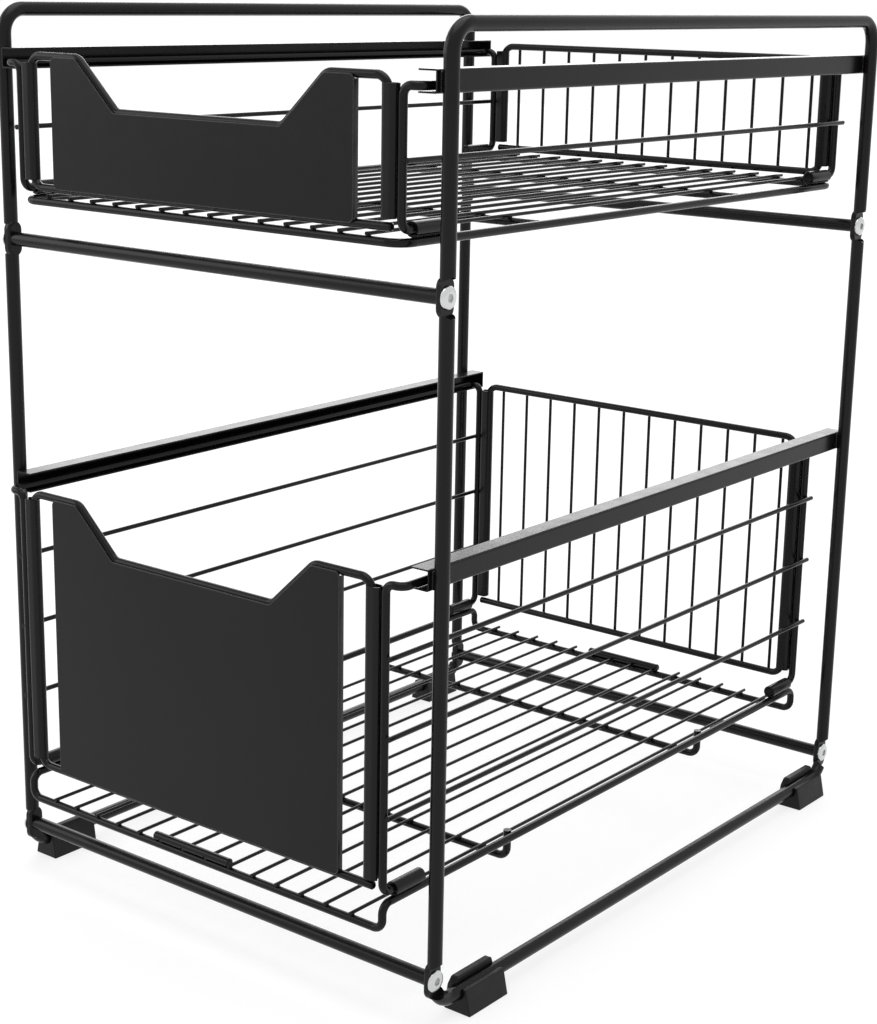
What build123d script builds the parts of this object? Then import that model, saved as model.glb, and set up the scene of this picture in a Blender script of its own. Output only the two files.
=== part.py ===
"""Two-tier sliding basket organiser: a bent tube frame that carries two pull-out wire baskets.

Millimetres, +Z up, the front of the baskets towards -Y, +X to the right seen from the front.
The origin lies on the floor, under the middle of the whole outline with both baskets pushed in.
"""
from build123d import *
import os

os.makedirs("parts", exist_ok=True)

# ---------------------------------------------------------------- stock
tube_diameter = 7.0
tube_wall = 0.8
rod_diameter = 4.0
wire_diameter = 1.8
side_wire_diameter = 2.5
bar_diameter = 4.4
sheet = 0.8
clip_sheet = 1.2

# ---------------------------------------------------------------- clearances
weld_gap = 0.05
slip_gap = 0.3
thread_gap = 0.04

# ---------------------------------------------------------------- frame
frame_width = 278.2
frame_depth = 374.0
frame_height = 440.0
frame_corner_radius = 12.0
frame_centre_y = 6.125
tube_lift = 10.5

# Screwed joints between the side frames and the cross tubes
joint_height_low = 12.7
joint_drop_mid = 111.8
seat_length = 18.0
seat_width = 8.8
seat_thickness = 3.6
seat_edge_radius = 1.4
screw_diameter = 4.0
screw_hole_gap = 0.25
screw_reach = 9.0
screw_head_diameter = 10.5
screw_head_height = 1.8
screw_head_bevel = 0.7
hex_across = 2.9
hex_depth = 1.2
plug_length = 12.0

# ---------------------------------------------------------------- rails
rail_width = 10.0
rail_height = 10.0
rail_corner_radius = 1.2
rail_front_overhang = 5.0
rear_stop_play = 1.0
upper_rail_drop = 18.2
lower_rail_height = 199.5

# ---------------------------------------------------------------- feet
# The front right foot sits further back along its tube than the other three
foot_length = 30.0
foot_inset = 23.5
foot_inset_front_right = 32.0
foot_base_inboard = 7.6
foot_base_outboard = 8.0
foot_top_inboard = 5.8
foot_top_outboard = 5.2
foot_rim_height = 2.5
foot_lip_height = 6.8
foot_lip_reach = 0.9
foot_lip_slope = 1.8
foot_lip_radius = 1.6
foot_edge_radius = 1.0

# ---------------------------------------------------------------- baskets, shared sizes
basket_extra_depth = 8.0
upper_front_overhang = 7.0
lower_front_overhang = 14.5
side_rod_inset = 19.6
runner_reach = 9.5
runner_bend_radius = 4.4
side_bend_radius = 5.0
clip_length = 20.5
clip_start = 6.8
clip_bore = 4.6
clip_slit = 0.8
clip_slit_turn = -40.0
side_wire_front_overhang = 1.0
side_wire_rear_overhang = 3.0

frame_rod_inset = 7.7
frame_bend_radius = 6.5
free_end_overhang = 2.7
free_end_bevel = 0.7
notch_depth = 24.0
notch_flare = 25.6
shoulder_inset = 33.8

plate_inset = 16.8
plate_corner_radius = 3.0
plate_return = 2.4

channel_width = 6.0
channel_length = 8.4
channel_slit = 1.4
channel_foot_gap = 3.5
channel_head_gap = 3.0

rear_wire_count = 12
rear_wire_margin = 9.775
rear_wire_overhang = 1.0

grid_wire_count = 14
grid_wire_margin = 18.1
grid_wire_front_overhang = 1.5
grid_wire_rear_overhang = 4.0
cross_rod_inset = 101.0

# ---------------------------------------------------------------- upper basket, from its rails
upper_top_rod_rise = 6.8
upper_side_wire_drops = [27.5]
upper_bottom_rod_drop = 55.6
upper_rim_drop = 62.3
upper_rim_radius = 8.0

# ---------------------------------------------------------------- lower basket, from its rails
lower_top_rod_rise = 4.0
lower_side_wire_drops = [31.0, 68.5, 106.5]
lower_bottom_rod_drop = 141.6
lower_rim_drop = 162.0
lower_rim_rise = 12.5
lower_rim_radius = 5.0
bar_length = 52.0
front_bar_shift = 2.2

# ---------------------------------------------------------------- derived sizes
tube_radius = tube_diameter / 2
rod_radius = rod_diameter / 2
wire_radius = wire_diameter / 2
tube_x = frame_width / 2
front_tube_y = frame_centre_y - frame_depth / 2
rear_tube_y = frame_centre_y + frame_depth / 2
floor_tube_z = tube_lift
joint_height_mid = frame_height - joint_drop_mid
upper_rail_height = frame_height - upper_rail_drop - rail_height
basket_depth = frame_depth + basket_extra_depth
side_rod_offset = tube_x - side_rod_inset
runner_offset = side_rod_offset + runner_reach
frame_rod_offset = side_rod_offset - frame_rod_inset
plate_half_width = frame_rod_offset - plate_inset
shoulder_half_width = frame_rod_offset - shoulder_inset
notch_half_width = shoulder_half_width - notch_flare
grid_wire_pitch = 2 * (side_rod_offset - grid_wire_margin) / (grid_wire_count - 1)
rear_wire_pitch = 2 * (frame_rod_offset - rear_wire_margin) / (rear_wire_count - 1)
seat_inner_x = tube_x - tube_radius
seat_outer_x = seat_inner_x + seat_thickness
rail_front_y = front_tube_y - rail_front_overhang
rail_rear_y = front_tube_y - upper_front_overhang + basket_depth + rod_radius + slip_gap
rail_rear_y += rear_stop_play + sheet
rail_length = rail_rear_y - rail_front_y
rod_on_rod = rod_diameter + weld_gap
wire_on_rod = rod_radius + weld_gap + wire_radius
clip_radius = clip_bore / 2 + clip_sheet
clip_rise = rod_radius + weld_gap + clip_radius


class Basket:
    """Heights and positions of one basket, all in the object's frame."""

    def __init__(self, name, overhang, rail, rim, rise, rim_radius, bottom, top, wires):
        rail_z = floor_tube_z + rail
        self.name = name
        self.front_y = front_tube_y - overhang
        self.rear_y = self.front_y + basket_depth
        self.middle_y = (self.front_y + self.rear_y) / 2
        self.runner_z = rail_z + sheet + slip_gap + rod_radius
        self.rim_z = rail_z - rim
        self.rim_rise = rise
        self.rim_radius = rim_radius
        self.side_rim_z = self.rim_z + rise
        self.clip_z = self.side_rim_z + clip_rise
        self.bottom_z = rail_z - bottom
        self.top_z = rail_z + top
        self.side_wire_z = [rail_z - drop for drop in wires]


upper = Basket(
    "upper",
    upper_front_overhang,
    upper_rail_height,
    upper_rim_drop,
    0.0,
    upper_rim_radius,
    upper_bottom_rod_drop,
    upper_top_rod_rise,
    upper_side_wire_drops,
)
lower = Basket(
    "lower",
    lower_front_overhang,
    lower_rail_height,
    lower_rim_drop,
    lower_rim_rise,
    lower_rim_radius,
    lower_bottom_rod_drop,
    lower_top_rod_rise,
    lower_side_wire_drops,
)


def save(part, name):
    """Labels a finished piece and writes it as its own file."""
    part.label = name
    export_step(part, f"parts/{name}.step")


def bent_rod(points, diameter, bend_radius):
    """Sweeps a round section along straight runs joined by tangent bends."""
    with BuildPart() as rod:
        with BuildLine() as route:
            FilletPolyline(*points, radius=bend_radius)
        start = route.line @ 0
        with BuildSketch(Plane(origin=start, z_dir=route.line % 0)):
            Circle(diameter / 2)
        sweep(path=route.line)
    return rod.part


# ---------------------------------------------------------------- frame pieces
def joint_spots():
    """Centres (y, z) of the four screwed joints on one side frame."""
    rows = [floor_tube_z + joint_height_low, floor_tube_z + joint_height_mid]
    return [(y, z) for y in (front_tube_y, rear_tube_y) for z in rows]


def side_frame(side):
    """One closed loop of bent tube, pressed flat where each screw pulls it to a cross tube."""
    bottom_z = floor_tube_z
    top_z = floor_tube_z + frame_height
    middle_y = (front_tube_y + rear_tube_y) / 2
    with BuildPart() as frame:
        for near_y in (front_tube_y, rear_tube_y):
            with BuildLine() as route:
                FilletPolyline(
                    (tube_x, middle_y, bottom_z),
                    (tube_x, near_y, bottom_z),
                    (tube_x, near_y, top_z),
                    (tube_x, middle_y, top_z),
                    radius=frame_corner_radius,
                )
            with BuildSketch(Plane(origin=route.line @ 0, z_dir=route.line % 0)):
                Circle(tube_radius)
            sweep(path=route.line)
        # The press leaves an obround pocket in the outer half of the tube
        with BuildSketch(Plane.YZ.offset(seat_outer_x)):
            with Locations(*joint_spots()):
                SlotOverall(seat_length, seat_width + weld_gap, rotation=90)
        extrude(amount=tube_diameter, mode=Mode.SUBTRACT)
        # and the flattened walls bulge fore and aft as a thinner, wider pad
        for spot in joint_spots():
            with BuildPart(mode=Mode.PRIVATE) as pad:
                with BuildSketch(Plane.YZ.offset(seat_inner_x)):
                    with Locations(spot):
                        SlotOverall(seat_length, seat_width, rotation=90)
                extrude(amount=seat_thickness)
                fillet(pad.faces().sort_by(Axis.X)[0].edges(), seat_edge_radius)
            add(pad.part)
        with BuildSketch(Plane.YZ.offset(seat_inner_x - tube_radius)):
            with Locations(*joint_spots()):
                Circle(screw_diameter / 2 + screw_hole_gap)
        extrude(amount=2 * tube_diameter, mode=Mode.SUBTRACT)
        if side < 0:
            mirror(about=Plane.YZ, mode=Mode.REPLACE)
    return frame.part


def cross_tube(y, height):
    """A straight tube that butts on the flattened seats of both side frames."""
    z = floor_tube_z + height
    half = seat_inner_x
    with BuildPart() as tube:
        with BuildSketch(Plane.YZ.offset(-half)):
            with Locations((y, z)):
                Circle(tube_radius)
                Circle(tube_radius - tube_wall, mode=Mode.SUBTRACT)
        extrude(amount=2 * half)
    return tube.part


def threaded_plugs():
    """Threaded inserts pressed into both ends of each cross tube."""
    bore = tube_radius - tube_wall - thread_gap
    with BuildPart() as plugs:
        with BuildSketch(Plane.YZ.offset(seat_inner_x)):
            with Locations(*joint_spots()):
                Circle(bore)
                Circle(screw_diameter / 2 + thread_gap, mode=Mode.SUBTRACT)
        extrude(amount=-plug_length)
        mirror(about=Plane.YZ)
    return plugs.part


def frame_screws():
    """Button-head screws that hold the side frames to the cross tubes."""
    shank = screw_diameter / 2
    head = screw_head_diameter / 2
    with BuildPart() as screws:
        with BuildSketch(Plane.YZ.offset(seat_outer_x)):
            with Locations(*joint_spots()):
                Circle(head)
        extrude(amount=screw_head_height)
        rims = screws.edges().group_by(Axis.X)[-1]
        chamfer(rims, screw_head_bevel)
        with BuildSketch(Plane.YZ.offset(seat_outer_x)):
            with Locations(*joint_spots()):
                Circle(shank)
        extrude(amount=-(seat_thickness + screw_reach))
        with BuildSketch(Plane.YZ.offset(seat_outer_x + screw_head_height)):
            with Locations(*joint_spots()):
                RegularPolygon(hex_across / 2, 6, major_radius=False)
        extrude(amount=-hex_depth, mode=Mode.SUBTRACT)
        mirror(about=Plane.YZ)
    return screws.part


def rail(side, height):
    """A folded channel that opens inboard for one runner; its back end is closed as a stop."""
    z = floor_tube_z + height + rail_height / 2
    web_x = tube_x - tube_radius
    with BuildPart() as channel:
        with BuildSketch(Plane.XZ.offset(-rail_rear_y)) as section:
            with Locations((web_x - rail_width / 2, z)):
                Rectangle(rail_width, rail_height)
            fillet(section.vertices().group_by(Axis.X)[-1], rail_corner_radius)
        extrude(amount=rail_length)
        with BuildSketch(Plane.XZ.offset(sheet - rail_rear_y)):
            with Locations((web_x - sheet - rail_width / 2, z)):
                Rectangle(rail_width, rail_height - 2 * sheet)
        extrude(amount=rail_length, mode=Mode.SUBTRACT)
        if side < 0:
            mirror(about=Plane.YZ, mode=Mode.REPLACE)
    return channel.part


def foot(side, y_sign, inset):
    """A moulded foot: a flared block with a trough for the tube and a lip curled over it."""
    middle_y = frame_centre_y + y_sign * (frame_depth / 2 - inset)
    near_y = frame_centre_y + y_sign * frame_depth / 2
    low_y = middle_y - foot_length / 2
    high_y = middle_y + foot_length / 2
    x = tube_x
    z = floor_tube_z
    lip_x = x - foot_top_inboard
    rim_z = z + foot_rim_height
    lip_z = z + foot_lip_height
    run = [(x, frame_centre_y, z), (x, near_y, z), (x, near_y, z + frame_height)]
    tube_room = bent_rod(run, tube_diameter + 2 * weld_gap, frame_corner_radius)
    with BuildPart() as block:
        with BuildSketch(Plane.XZ.offset(-high_y)):
            with BuildLine():
                Polyline(
                    (x - foot_base_inboard, 0),
                    (x + foot_base_outboard, 0),
                    (x + foot_top_outboard, rim_z),
                    (x - foot_lip_reach, rim_z),
                    (x - foot_lip_reach, lip_z),
                    (lip_x + foot_edge_radius, lip_z),
                    (lip_x, rim_z),
                    close=True,
                )
            make_face()
        extrude(amount=foot_length)
        fillet(block.edges().filter_by(Axis.Y).group_by(Axis.Z)[-1], foot_edge_radius)
        # Seen from the side the lip narrows upwards and its corners are rounded
        with BuildSketch(Plane.YZ) as outline:
            with BuildLine():
                Polyline(
                    (low_y, 0),
                    (high_y, 0),
                    (high_y, rim_z),
                    (high_y - foot_lip_slope, lip_z),
                    (low_y + foot_lip_slope, lip_z),
                    (low_y, rim_z),
                    close=True,
                )
            make_face()
            fillet(outline.vertices().group_by(Axis.Y)[-1], foot_lip_radius)
        extrude(amount=x + foot_base_outboard, mode=Mode.INTERSECT)
        add(tube_room, mode=Mode.SUBTRACT)
        if side < 0:
            mirror(about=Plane.YZ, mode=Mode.REPLACE)
    return block.part


# ---------------------------------------------------------------- basket floor
def flat_rim(basket):
    """The closed rod around the floor of the upper basket."""
    x = side_rod_offset
    z = basket.rim_z
    corners = [
        (0, basket.front_y, z),
        (-x, basket.front_y, z),
        (-x, basket.rear_y, z),
        (0, basket.rear_y, z),
    ]
    with BuildPart() as rim:
        add(bent_rod(corners, rod_diameter, basket.rim_radius))
        mirror(about=Plane.YZ)
    return rim.part


def stepped_rim(basket):
    """The closed rod around the floor of the lower basket; its sides step up to meet the clips."""
    x = side_rod_offset
    corners = [
        (0, basket.front_y, basket.rim_z),
        (-x, basket.front_y, basket.rim_z),
        (-x, basket.front_y, basket.side_rim_z),
        (-x, basket.rear_y, basket.side_rim_z),
        (-x, basket.rear_y, basket.rim_z),
        (0, basket.rear_y, basket.rim_z),
    ]
    with BuildPart() as rim:
        add(bent_rod(corners, rod_diameter, basket.rim_radius))
        mirror(about=Plane.YZ)
    return rim.part


def grid_cross_rods(basket):
    """Two rods under the floor wires, welded to the inboard side of the rim."""
    x = side_rod_offset - rod_on_rod
    with BuildPart() as rods:
        for y in (basket.front_y + cross_rod_inset, basket.rear_y - cross_rod_inset):
            low = (0, y, basket.rim_z)
            if basket.rim_rise > rod_diameter:
                bend = (-x, y, basket.rim_z)
                tip = (-x, y, basket.side_rim_z + rod_radius)
                add(bent_rod([low, bend, tip], rod_diameter, basket.rim_radius))
            else:
                with BuildSketch(Plane.YZ):
                    with Locations((y, basket.rim_z)):
                        Circle(rod_radius)
                extrude(amount=-(side_rod_offset - rod_radius - weld_gap))
        mirror(about=Plane.YZ)
    return rods.part


def grid_wires(basket):
    """The floor wires, laid over the rim and the cross rods."""
    z = basket.rim_z + wire_on_rod
    back_y = basket.rear_y + grid_wire_rear_overhang
    front_y = basket.front_y - grid_wire_front_overhang
    with BuildPart() as wires:
        with BuildSketch(Plane.XZ.offset(-back_y)):
            with Locations((0, z)):
                with GridLocations(grid_wire_pitch, 0, grid_wire_count, 1):
                    Circle(wire_radius)
        extrude(amount=back_y - front_y)
    return wires.part


def grid_bars(basket):
    """Two short bars over the rim, pressed down over the middle floor wires."""
    z = basket.rim_z + rod_radius + weld_gap + bar_diameter / 2
    wire_z = basket.rim_z + wire_on_rod
    back_y = basket.rear_y + bar_diameter
    front_y = basket.front_y - bar_diameter
    with BuildPart() as bars:
        for y, shift in ((basket.front_y, front_bar_shift), (basket.rear_y, 0)):
            with BuildSketch(Plane.YZ.offset(-bar_length / 2 - shift)):
                with Locations((y, z)):
                    Circle(bar_diameter / 2)
            extrude(amount=bar_length)
        chamfer(bars.edges().filter_by(GeomType.CIRCLE), free_end_bevel)
        with BuildSketch(Plane.XZ.offset(-back_y)):
            with Locations((0, wire_z)):
                with GridLocations(grid_wire_pitch, 0, grid_wire_count, 1):
                    Circle(wire_radius + weld_gap)
        extrude(amount=back_y - front_y, mode=Mode.SUBTRACT)
    return bars.part


# ---------------------------------------------------------------- basket sides
def side_rod(basket, side):
    """One bent rod: two uprights, the runner in the rail above and a clip stub below each."""
    x = side_rod_offset
    out = runner_offset
    stub = clip_start + clip_length
    points = [
        (x, basket.front_y + stub, basket.clip_z),
        (x, basket.front_y, basket.clip_z),
        (x, basket.front_y, basket.runner_z),
        (out, basket.front_y, basket.runner_z),
        (out, basket.rear_y, basket.runner_z),
        (x, basket.rear_y, basket.runner_z),
        (x, basket.rear_y, basket.clip_z),
        (x, basket.rear_y - stub, basket.clip_z),
    ]
    points = [(side * px, py, pz) for px, py, pz in points]
    radii = [side_bend_radius]
    radii += [runner_bend_radius] * 4
    radii += [side_bend_radius]
    return bent_rod(points, rod_diameter, radii)


def side_wires(basket):
    """Straight wires welded across the outboard faces of the side uprights."""
    x = side_rod_offset + rod_radius + weld_gap + side_wire_diameter / 2
    back_y = basket.rear_y + side_wire_rear_overhang
    spots = [(sign * x, z) for z in basket.side_wire_z for sign in (-1, 1)]
    with BuildPart() as wires:
        with BuildSketch(Plane.XZ.offset(-back_y)):
            with Locations(*spots):
                Circle(side_wire_diameter / 2)
        extrude(amount=basket_depth + side_wire_front_overhang + side_wire_rear_overhang)
    return wires.part


def clips(basket):
    """Rolled sheet sleeves round the side stubs, welded down on the floor rim."""
    with BuildPart() as rolled:
        with BuildSketch(Plane.XZ.offset(-(basket.front_y + clip_start + clip_length))):
            with Locations((side_rod_offset, basket.clip_z)):
                Circle(clip_radius)
                Circle(clip_bore / 2, mode=Mode.SUBTRACT)
                Rectangle(
                    2 * clip_radius,
                    clip_slit,
                    rotation=clip_slit_turn,
                    align=(Align.MIN, Align.CENTER),
                    mode=Mode.SUBTRACT,
                )
        extrude(amount=clip_length)
        mirror(about=Plane.XZ.offset(-basket.middle_y))
        mirror(about=Plane.YZ)
    return rolled.part


# ---------------------------------------------------------------- basket fronts and backs
def notch_points(basket, half_width):
    """The top line of a front, left to right, dipping to the finger notch."""
    top = basket.top_z
    low = top - notch_depth
    return [
        (-half_width, top),
        (-shoulder_half_width, top),
        (-notch_half_width, low),
        (notch_half_width, low),
        (shoulder_half_width, top),
        (half_width, top),
    ]


def front_frame(basket):
    """The rod frame of a front; its two ends meet at the bottom right corner."""
    x = frame_rod_offset
    bottom = basket.bottom_z
    last = bottom + rod_on_rod
    outline = [(x + free_end_overhang, bottom), (-x, bottom)]
    outline += notch_points(basket, x)
    outline += [(x, last)]
    points = [(px, basket.front_y, pz) for px, pz in outline]
    with BuildPart() as frame:
        add(bent_rod(points, rod_diameter, frame_bend_radius))
        chamfer(frame.edges().filter_by(GeomType.CIRCLE).sort_by(Axis.X)[-1], free_end_bevel)
    return frame.part


def rear_frame(basket):
    """The rod frame of a back; its two ends meet at the bottom left corner."""
    x = frame_rod_offset
    y = basket.rear_y
    bottom = basket.bottom_z
    points = [
        (-x - free_end_overhang, y, bottom),
        (x, y, bottom),
        (x, y, basket.top_z),
        (-x, y, basket.top_z),
        (-x, y, bottom + rod_on_rod),
    ]
    with BuildPart() as frame:
        add(bent_rod(points, rod_diameter, frame_bend_radius))
        chamfer(frame.edges().filter_by(GeomType.CIRCLE).sort_by(Axis.X)[0], free_end_bevel)
    return frame.part


def front_plate(basket):
    """The sheet front, notched at the top, with its side edges turned back between the rods."""
    face_y = basket.front_y - rod_radius - weld_gap - sheet
    return_height = basket.top_z - basket.bottom_z - rod_diameter - 2 * weld_gap
    middle_z = (basket.top_z + basket.bottom_z) / 2
    outline = [(-plate_half_width, basket.bottom_z)]
    outline += notch_points(basket, plate_half_width)
    outline += [(plate_half_width, basket.bottom_z)]
    with BuildPart() as plate:
        with BuildSketch(Plane.XZ.offset(-(face_y + sheet))) as face:
            with BuildLine():
                Polyline(*outline, close=True)
            make_face()
            fillet(face.vertices(), plate_corner_radius)
        extrude(amount=sheet)
        with BuildSketch(Plane.XZ.offset(-(face_y + sheet + plate_return))):
            for sign in (-1, 1):
                with Locations((sign * (plate_half_width - sheet / 2), middle_z)):
                    Rectangle(sheet, return_height)
        extrude(amount=plate_return + sheet / 2)
    return plate.part


def end_channel(basket, side, frame_y, room):
    """A slit oval tube clasping an upright of a front or back frame, its lips on the side rod."""
    low = basket.bottom_z + channel_foot_gap
    high = basket.top_z - channel_head_gap
    left = frame_rod_offset - channel_width / 2
    middle = left + channel_length / 2
    with BuildPart() as channel:
        with BuildSketch(Plane.XY.offset(low)):
            with Locations((middle, frame_y)):
                SlotOverall(channel_length, channel_width)
                SlotOverall(
                    channel_length - 2 * sheet,
                    channel_width - 2 * sheet,
                    mode=Mode.SUBTRACT,
                )
            with Locations((left + channel_length, frame_y)):
                Rectangle(channel_width / 2, channel_slit, mode=Mode.SUBTRACT)
        extrude(amount=high - low)
        if side < 0:
            mirror(about=Plane.YZ, mode=Mode.REPLACE)
        add(room, mode=Mode.SUBTRACT)
    return channel.part


def bend_room(basket, y):
    """The space that the corner bends of a front or back frame need inside the channels."""
    x = frame_rod_offset
    bottom = basket.bottom_z
    points = [
        (0, y, bottom),
        (-x, y, bottom),
        (-x, y, basket.top_z),
        (0, y, basket.top_z),
    ]
    with BuildPart() as room:
        add(bent_rod(points, rod_diameter + 2 * weld_gap, frame_bend_radius))
        mirror(about=Plane.YZ)
    return room.part


def rear_wires(basket):
    """Upright wires welded behind the rods of the back frame."""
    y = basket.rear_y + wire_on_rod
    low = basket.bottom_z - rear_wire_overhang
    with BuildPart() as wires:
        with BuildSketch(Plane.XY.offset(low)):
            with Locations((0, y)):
                with GridLocations(rear_wire_pitch, 0, rear_wire_count, 1):
                    Circle(wire_radius)
        extrude(amount=basket.top_z + rear_wire_overhang - low)
    return wires.part


# ---------------------------------------------------------------- build and write every piece
for word, sign in (("left", -1), ("right", 1)):
    save(side_frame(sign), f"side_frame_{word}")
    save(rail(sign, upper_rail_height), f"rail_upper_{word}")
    save(rail(sign, lower_rail_height), f"rail_lower_{word}")
    save(foot(sign, 1, foot_inset), f"foot_rear_{word}")

save(foot(-1, -1, foot_inset), "foot_front_left")
save(foot(1, -1, foot_inset_front_right), "foot_front_right")

for word, y in (("front", front_tube_y), ("rear", rear_tube_y)):
    save(cross_tube(y, joint_height_mid), f"cross_tube_{word}_mid")
    save(cross_tube(y, joint_height_low), f"cross_tube_{word}_bottom")

save(threaded_plugs(), "threaded_plugs")
save(frame_screws(), "frame_screws")

for basket in (upper, lower):
    name = basket.name
    save(grid_cross_rods(basket), f"{name}_grid_cross_rods")
    save(grid_wires(basket), f"{name}_grid_wires")
    save(side_wires(basket), f"{name}_side_wires")
    save(clips(basket), f"{name}_clips")
    save(front_frame(basket), f"{name}_front_frame")
    save(front_plate(basket), f"{name}_front_plate")
    save(rear_frame(basket), f"{name}_rear_frame")
    save(rear_wires(basket), f"{name}_rear_wires")
    front_room = bend_room(basket, basket.front_y)
    rear_room = bend_room(basket, basket.rear_y)
    for word, sign in (("left", -1), ("right", 1)):
        save(side_rod(basket, sign), f"{name}_side_{word}")
        front = end_channel(basket, sign, basket.front_y, front_room)
        save(front, f"{name}_front_channel_{word}")
        rear = end_channel(basket, sign, basket.rear_y, rear_room)
        save(rear, f"{name}_rear_channel_{word}")

save(flat_rim(upper), "upper_grid_rim")
save(stepped_rim(lower), "lower_grid_rim")
save(grid_bars(lower), "lower_grid_bars")
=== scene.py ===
"""Two-tier pull-out basket organiser: finishes, weld marks, screws, studio and camera.

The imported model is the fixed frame. Sheet parts and feet get softly rounded edges in place of the
CAD's sharp ones, the screws get threads and rounded heads, every welded crossing gets its weld
mark, and every surface gets a procedural finish. All lengths are in metres.
"""

import logging
import math
from dataclasses import dataclass, field, replace
from enum import Enum
from typing import Iterable, Sequence

import bmesh
import bpy
from mathutils import Matrix, Vector


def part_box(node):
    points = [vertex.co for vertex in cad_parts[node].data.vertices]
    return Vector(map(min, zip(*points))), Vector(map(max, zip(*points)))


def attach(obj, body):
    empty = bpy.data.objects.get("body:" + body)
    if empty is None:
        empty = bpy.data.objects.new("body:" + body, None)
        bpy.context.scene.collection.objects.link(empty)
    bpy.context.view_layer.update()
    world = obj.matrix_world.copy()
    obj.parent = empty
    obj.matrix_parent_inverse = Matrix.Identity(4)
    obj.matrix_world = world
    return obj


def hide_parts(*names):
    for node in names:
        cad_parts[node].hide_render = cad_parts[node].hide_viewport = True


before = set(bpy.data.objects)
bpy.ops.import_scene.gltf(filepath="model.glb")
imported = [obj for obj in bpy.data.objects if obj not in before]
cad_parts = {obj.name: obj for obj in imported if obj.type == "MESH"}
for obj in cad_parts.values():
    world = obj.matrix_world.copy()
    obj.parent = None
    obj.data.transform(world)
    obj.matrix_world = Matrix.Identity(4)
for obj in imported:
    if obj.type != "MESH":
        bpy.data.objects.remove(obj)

MM: float = 0.001
UP_ATTRIBUTE: str = "up"
ALONG_ATTRIBUTE: str = "along"
SIDES: tuple[str, str] = ("left", "right")
ENDS: tuple[str, str] = ("front", "rear")
FIRST_BASKET_SEED: int = 21

log = logging.getLogger("basket_organiser")


class Tier(Enum):
    """The two baskets, by the first word of their nodes' names."""

    UPPER = "upper"
    LOWER = "lower"


class Slot(Enum):
    """The record's material slot names; the script gives none of them to any piece."""

    COAT = "black_powder_coat"
    SCREW = "bright_zinc"
    PLASTIC = "black_plastic"


class Axis(Enum):
    """Unit directions of the shared frame."""

    X = Vector((1.0, 0.0, 0.0))
    Y = Vector((0.0, 1.0, 0.0))
    Z = Vector((0.0, 0.0, 1.0))


# Sockets that share their name with others of the same node are reached by place
COLOUR_MIX_SHARE: int = 0
COLOUR_MIX_FIRST: int = 6
COLOUR_MIX_SECOND: int = 7
COLOUR_MIX_RESULT: int = 2
RANDOM_FLOAT_LOW: int = 2
RANDOM_FLOAT_HIGH: int = 3
RANDOM_FLOAT_VALUE: int = 1


# ---------------------------------------------------------------- small helpers
def link_object(name: str, mesh: bpy.types.Mesh) -> bpy.types.Object:
    """Puts a mesh in the scene as an object at the origin.

    Args:
        name: The object's name.
        mesh: Its mesh, already in place.

    Returns:
        The new object.
    """
    mesh.name = name
    piece = bpy.data.objects.new(name, mesh)
    bpy.context.scene.collection.objects.link(piece)
    return piece


def evaluated_mesh(piece: bpy.types.Object) -> bpy.types.Mesh:
    """Returns a plain mesh of the piece with its modifiers worked out."""
    bpy.context.view_layer.update()
    depsgraph = bpy.context.evaluated_depsgraph_get()
    return bpy.data.meshes.new_from_object(piece.evaluated_get(depsgraph))


def bake_modifiers(piece: bpy.types.Object) -> None:
    """Replaces the piece's mesh by its evaluated one and drops its modifiers."""
    mesh = evaluated_mesh(piece)
    piece.modifiers.clear()
    piece.data = mesh
    mesh.name = piece.name


# ---------------------------------------------------------------- finishes
class NodeBoard:
    """A thin wrapper round a node tree: adds nodes, fills their inputs and links them."""

    def __init__(self, tree: bpy.types.NodeTree) -> None:
        """Keeps the tree that nodes are added to."""
        self.tree = tree

    def add(
        self,
        kind: str,
        inputs: dict[str | int, object] | None = None,
        **settings: object,
    ) -> bpy.types.Node:
        """Adds a node.

        Args:
            kind: The node's type name.
            inputs: Values for its unlinked inputs, by name or by place.
            settings: Properties of the node, such as operation or data_type.

        Returns:
            The new node.
        """
        node = self.tree.nodes.new(kind)
        for key, value in settings.items():
            setattr(node, key, value)
        for key, value in (inputs or {}).items():
            node.inputs[key].default_value = value
        return node

    def link(self, source: bpy.types.NodeSocket, target: bpy.types.NodeSocket) -> None:
        """Links an output to an input."""
        self.tree.links.new(source, target)


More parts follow.
